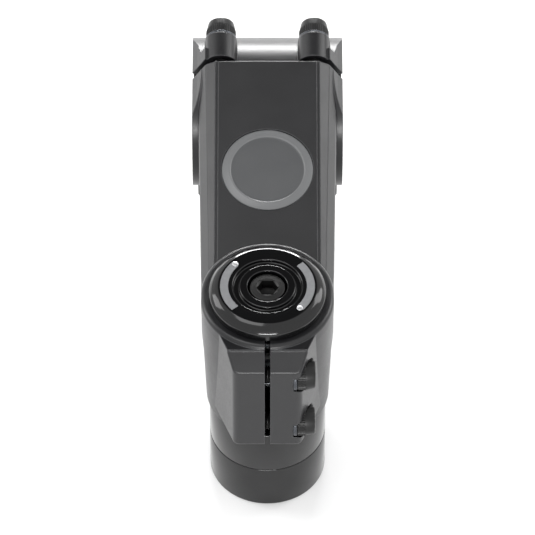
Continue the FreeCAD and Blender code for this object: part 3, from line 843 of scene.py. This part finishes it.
@dataclass
class StarNut:
    """Threaded barrel and two sprung stars that grip the steerer's inside."""

    bottom: float = 14.0
    height: float = 12.0
    radius: float = 5.2
    bore: float = 3.06
    ring_outer: float = 9.2
    claw_reach: float = 11.9
    claw_half_angle: float = 11.5
    claw_root: float = 2.4
    claw_rise: float = 1.1
    claw_steps: int = 8
    claw_columns: int = 6
    thickness: float = 0.9
    heights: tuple[float, float] = (15.5, 22.0)
    claws: int = 8

    def build(self) -> None:
        """Make the barrel and both stars."""
        rings = ring_tree(ZINC_PLATE.material())
        barrel = rings.bake({"Inner": self.bore * MM, "Outer": self.radius * MM,
                             "Height": self.height * MM, "Rounding": 0.4 * MM})
        barrel.transform(Matrix.Translation((0, 0, (self.bottom + self.height / 2) * MM)))
        finish_piece("nut_barrel", tidy(barrel), "stem", ["star_nut_barrel"])
        wheel = self._claw_tree()
        for level, height in zip(("low", "high"), self.heights):
            star = wheel.bake({"Count": self.claws}, self._claw())
            hub = rings.bake({"Inner": self.radius * MM, "Outer": self.ring_outer * MM,
                              "Height": self.thickness * MM, "Rounding": 0.15 * MM})
            hub.transform(Matrix.Translation((0, 0, self.thickness / 2 * MM)))
            made = bmesh.new()
            made.from_mesh(star)
            made.from_mesh(hub)
            made.to_mesh(star)
            made.free()
            star.transform(Matrix.Translation((0, 0, height * MM)))
            finish_piece(f"nut_star_{level}", tidy(star), "stem", [f"star_nut_spring_{level}"])

    def _claw(self) -> bpy.types.Mesh:
        """One claw of the star, curving upward to its tip.

        Returns:
            A closed mesh lying along +X.
        """
        made = bmesh.new()
        columns, half_way = self.claw_columns, self.claw_columns / 2
        rows = []
        for i in range(self.claw_steps + 1):
            share = i / self.claw_steps
            reach = self.radius + self.claw_root + (self.claw_reach - self.radius - self.claw_root) * share
            lift = self.claw_rise * share ** 2
            half = math.radians(self.claw_half_angle) * (1.15 - 0.25 * share)
            for low in (lift, lift + self.thickness):
                for j in range(columns + 1):
                    angle = half * (j / half_way - 1)
                    rows.append(made.verts.new(
                        (reach * MM * math.cos(angle), reach * MM * math.sin(angle), low * MM)))
        over = columns + 1
        width = 2 * over
        for i in range(self.claw_steps):
            a, b = rows[i * width:(i + 1) * width], rows[(i + 1) * width:(i + 2) * width]
            for j in range(columns):
                made.faces.new((a[j], b[j], b[j + 1], a[j + 1]))
                made.faces.new((a[j + over], a[j + over + 1], b[j + over + 1], b[j + over]))
            made.faces.new((a[0], a[over], b[over], b[0]))
            made.faces.new((a[columns], b[columns], b[columns + over], a[columns + over]))
        for row in (rows[:width], rows[-width:]):
            for j in range(columns):
                made.faces.new((row[j], row[j + 1], row[j + over + 1], row[j + over]))
        mesh = bpy.data.meshes.new("claw")
        made.to_mesh(mesh)
        made.free()
        return mesh

    def _claw_tree(self) -> NodeShape:
        """Repeats the incoming claw round the axis.

        Returns:
            The tree, with the input Count.
        """
        shape = NodeShape("claws_round_axis", {"Count": 8})
        start = shape.start
        points = shape.node("GeometryNodePoints", {}, {"Count": start["Count"]})
        number = shape.node("GeometryNodeInputIndex")
        step = shape.node("ShaderNodeMath", {"operation": "DIVIDE", 0: math.tau}, {1: start["Count"]})
        angle = shape.node("ShaderNodeMath", {"operation": "MULTIPLY"}, {0: number[0], 1: step[0]})
        turn = shape.node("ShaderNodeCombineXYZ", {}, {"Z": angle[0]})
        around = shape.node("GeometryNodeInstanceOnPoints", {},
                            {"Points": points[0], "Instance": start["Geometry"], "Rotation": turn[0]})
        shape.end([around[0]], ZINC_PLATE.material())
        return shape


@dataclass
class Badge:
    """The round badge in the panel's recess: a spun grey field inside a bevelled ring painted lighter as a
    painted highlight.
    """

    layout: Layout
    forward: float = 42.5
    radius: float = 12.6
    thickness: float = 1.1
    rim_width: float = 2.2
    rim_drop: float = 0.45
    recess: float = 0.8
    dish: float = 0.25
    dish_slope: float = 0.4
    dish_width: float = 0.9
    crown: float = 0.1
    clamp_half_height: float = 24.5
    panel_back: float = 18.0
    panel_back_height: float = 38.4

    def build(self) -> None:
        """Turn the badge and seat it in its recess."""
        front, front_height = self.layout.along(0, self.clamp_half_height)
        slope = (front_height - self.panel_back_height) / (front - self.panel_back)
        tilt = math.degrees(math.atan(slope))
        c, s = math.cos(math.radians(tilt)), math.sin(math.radians(tilt))
        y = self.forward + self.recess * s
        z = self.panel_back_height + (self.forward - self.panel_back) * slope - self.recess * c
        # Dark grey resin with a spun metallic grain under it: soft rings that follow the light.
        field = Finish("badge_grey_resin_field", "3f4042", "474849", 0.38, 0.05, surface=Surface.TURNED,
                       grain=0.5, relief=0.003, centre=(0.0, y, z), tilt=tilt)
        # The ring is the same resin painted lighter, a painted highlight all round its polished bevel.
        ring = Finish("badge_ring_painted_highlight", "5d5e5f", "666768", 0.3, 0.04, surface=Surface.TURNED,
                      grain=0.5, relief=0.002, centre=(0.0, y, z), tilt=tilt)
        inner = self.radius - self.rim_width
        edge = self.thickness - self.rim_drop
        profile = rounded([(0.0, 0.0), (self.radius, 0.0), (self.radius, edge), (inner, self.thickness),
                           (inner - self.dish_slope, self.thickness - self.dish),
                           (inner - self.dish_width, self.thickness - self.dish),
                           (0.0, self.thickness - self.crown)], 0.22)
        mesh = Lathe(profile, segments=144).shape()
        mesh.materials.append(field.material())
        mesh.materials.append(ring.material())
        # Faces out on the rim take the lighter ring colour, a painted highlight.
        for face in mesh.polygons:
            if Vector(face.center[:2]).length > (inner - 0.35) * MM:
                face.material_index = 1
        mesh.transform(frame_at(0, y, z, tilt=tilt))
        finish_piece("badge_turned", tidy(mesh), "stem", ["badge_disc"])


@dataclass
class Spacers:
    """The two turned spacers under the stem."""

    inner: float = 14.6
    outer: float = 16.0
    height: float = 15.0
    rounding: float = 0.45

    def build(self) -> None:
        """Make both rings."""
        rings = ring_tree(GLOSS_ANODISE.material())
        for count, level in enumerate(("upper", "lower"), start=1):
            made = rings.bake({"Inner": self.inner * MM, "Outer": self.outer * MM,
                               "Height": self.height * MM, "Rounding": self.rounding * MM})
            made.transform(Matrix.Translation((0, 0, (0.5 - count) * self.height * MM)))
            finish_piece(f"spacer_ring_{level}", tidy(made), "stem", [f"spacer_{level}"])


@dataclass
class Forgings:
    """The painted stem body and faceplate, whose CAD shapes stay."""

    def build(self) -> None:
        """Dress both CAD nodes."""
        for name in ("stem_body", "faceplate"):
            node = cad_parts[name]
            for slot in node.material_slots:
                slot.material = SATIN_PAINT.material()
            LOG.info("%s keeps its CAD shape", name)


# ---------------------------------------------------------------- studio
@dataclass
class Studio:
    """Pale floor, soft lights and the camera."""

    floor_height: float = -30.0
    floor_half: float = 3000.0
    aim: tuple[float, float, float] = (0.0, 35.0, 11.7)
    elevation: float = 49.0
    distance: float = 1400.0
    lens: float = 338.0
    surround: float = 1.0
    dark_strength: float = 0.1
    dark_edge: float = 0.82
    dark_core: float = 0.97

    def build(self) -> None:
        """Make the floor, the lights, the surrounding light and the camera."""
        self._floor()
        self._world()
        self._light("overhead", (-180, 60, 760), (300, 300), 0.8)
        self._light("right_side", (560, 340, 400), (260, 460), 1.5)
        self._light("left_side", (-600, 240, 340), (260, 460), 1.5)
        self._light("beyond", (0, 820, 250), (420, 140), 6.0)
        self._light("behind", (0, -900, 360), (460, 110), 5.0)
        self._camera()

    def _floor(self) -> None:
        """A pale seamless floor, big enough to fill every view."""
        mesh = bpy.data.meshes.new("floor")
        half = self.floor_half * MM
        height = self.floor_height * MM
        corners = [(-half, -half, height), (half, -half, height), (half, half, height), (-half, half, height)]
        mesh.from_pydata(corners, [], [(0, 1, 2, 3)])
        floor = bpy.data.objects.new("floor", mesh)
        bpy.context.scene.collection.objects.link(floor)
        paper = Finish("pale_studio_paper", "f1f1f1", "ededed", 0.85, 0.03, grain=3.0, relief=0.01,
                       cloud=60.0)
        mesh.materials.append(paper.material())

    def _world(self) -> None:
        """White light from all round, with a darker part of the ceiling ahead of the stem."""
        world = bpy.data.worlds.new("studio")
        world.use_nodes = True
        tree = world.node_tree
        back = tree.nodes["Background"]
        back.inputs["Color"].default_value = linear("ffffff")
        way = add_node(tree, "ShaderNodeTexCoord").outputs["Generated"]
        near = add_node(tree, "ShaderNodeVectorMath", {"operation": "DOT_PRODUCT", 1: (0.0, 0.66, 0.75)},
                        {0: way}).outputs["Value"]
        dimmed = add_node(tree, "ShaderNodeMapRange", {
            "interpolation_type": "SMOOTHSTEP", "From Min": self.dark_edge, "From Max": self.dark_core,
            "To Min": self.surround, "To Max": self.dark_strength}, {"Value": near})
        tree.links.new(dimmed.outputs["Result"], back.inputs["Strength"])
        bpy.context.scene.world = world
        bpy.context.scene.view_settings.view_transform = "Standard"

    def _light(self, name: str, place: tuple[float, float, float], size: tuple[float, float],
               power: float) -> None:
        """Add a soft box aimed at the stem.

        Args:
            name: The light's name.
            place: Its place, in millimetres.
            size: Its width and height, in millimetres.
            power: Its power in watts.
        """
        data = bpy.data.lights.new(name, "AREA")
        data.shape = "RECTANGLE"
        data.size, data.size_y = size[0] * MM, size[1] * MM
        data.energy = power
        lamp = bpy.data.objects.new(name, data)
        bpy.context.scene.collection.objects.link(lamp)
        lamp.location = Vector(place) * MM
        lamp.rotation_euler = (Vector(self.aim) - Vector(place)).to_track_quat("-Z", "Y").to_euler()

    def _camera(self) -> None:
        """The rider's view, from behind and above."""
        data = bpy.data.cameras.new("rider_view")
        data.lens = self.lens
        data.sensor_width = 36.0
        data.clip_start, data.clip_end = 0.01, 20.0
        camera = bpy.data.objects.new("rider_view", data)
        bpy.context.scene.collection.objects.link(camera)
        e = math.radians(self.elevation)
        back = Vector((0.0, -math.cos(e), math.sin(e)))
        camera.location = (Vector(self.aim) + back * self.distance) * MM
        camera.rotation_euler = (-back).to_track_quat("-Z", "Y").to_euler()
        bpy.context.scene.camera = camera


def main() -> None:
    """Build every sub-assembly; each new piece logs its triangle count as it is made."""
    logging.basicConfig(level=logging.INFO, format="%(name)s: %(message)s")
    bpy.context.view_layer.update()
    layout = Layout()
    for part in (Forgings(), ClampHardware(layout), TopCap(), StarNut(), Badge(layout), Spacers(), Studio()):
        part.build()
    bpy.context.view_layer.update()


if __name__ == "__main__":
    main()
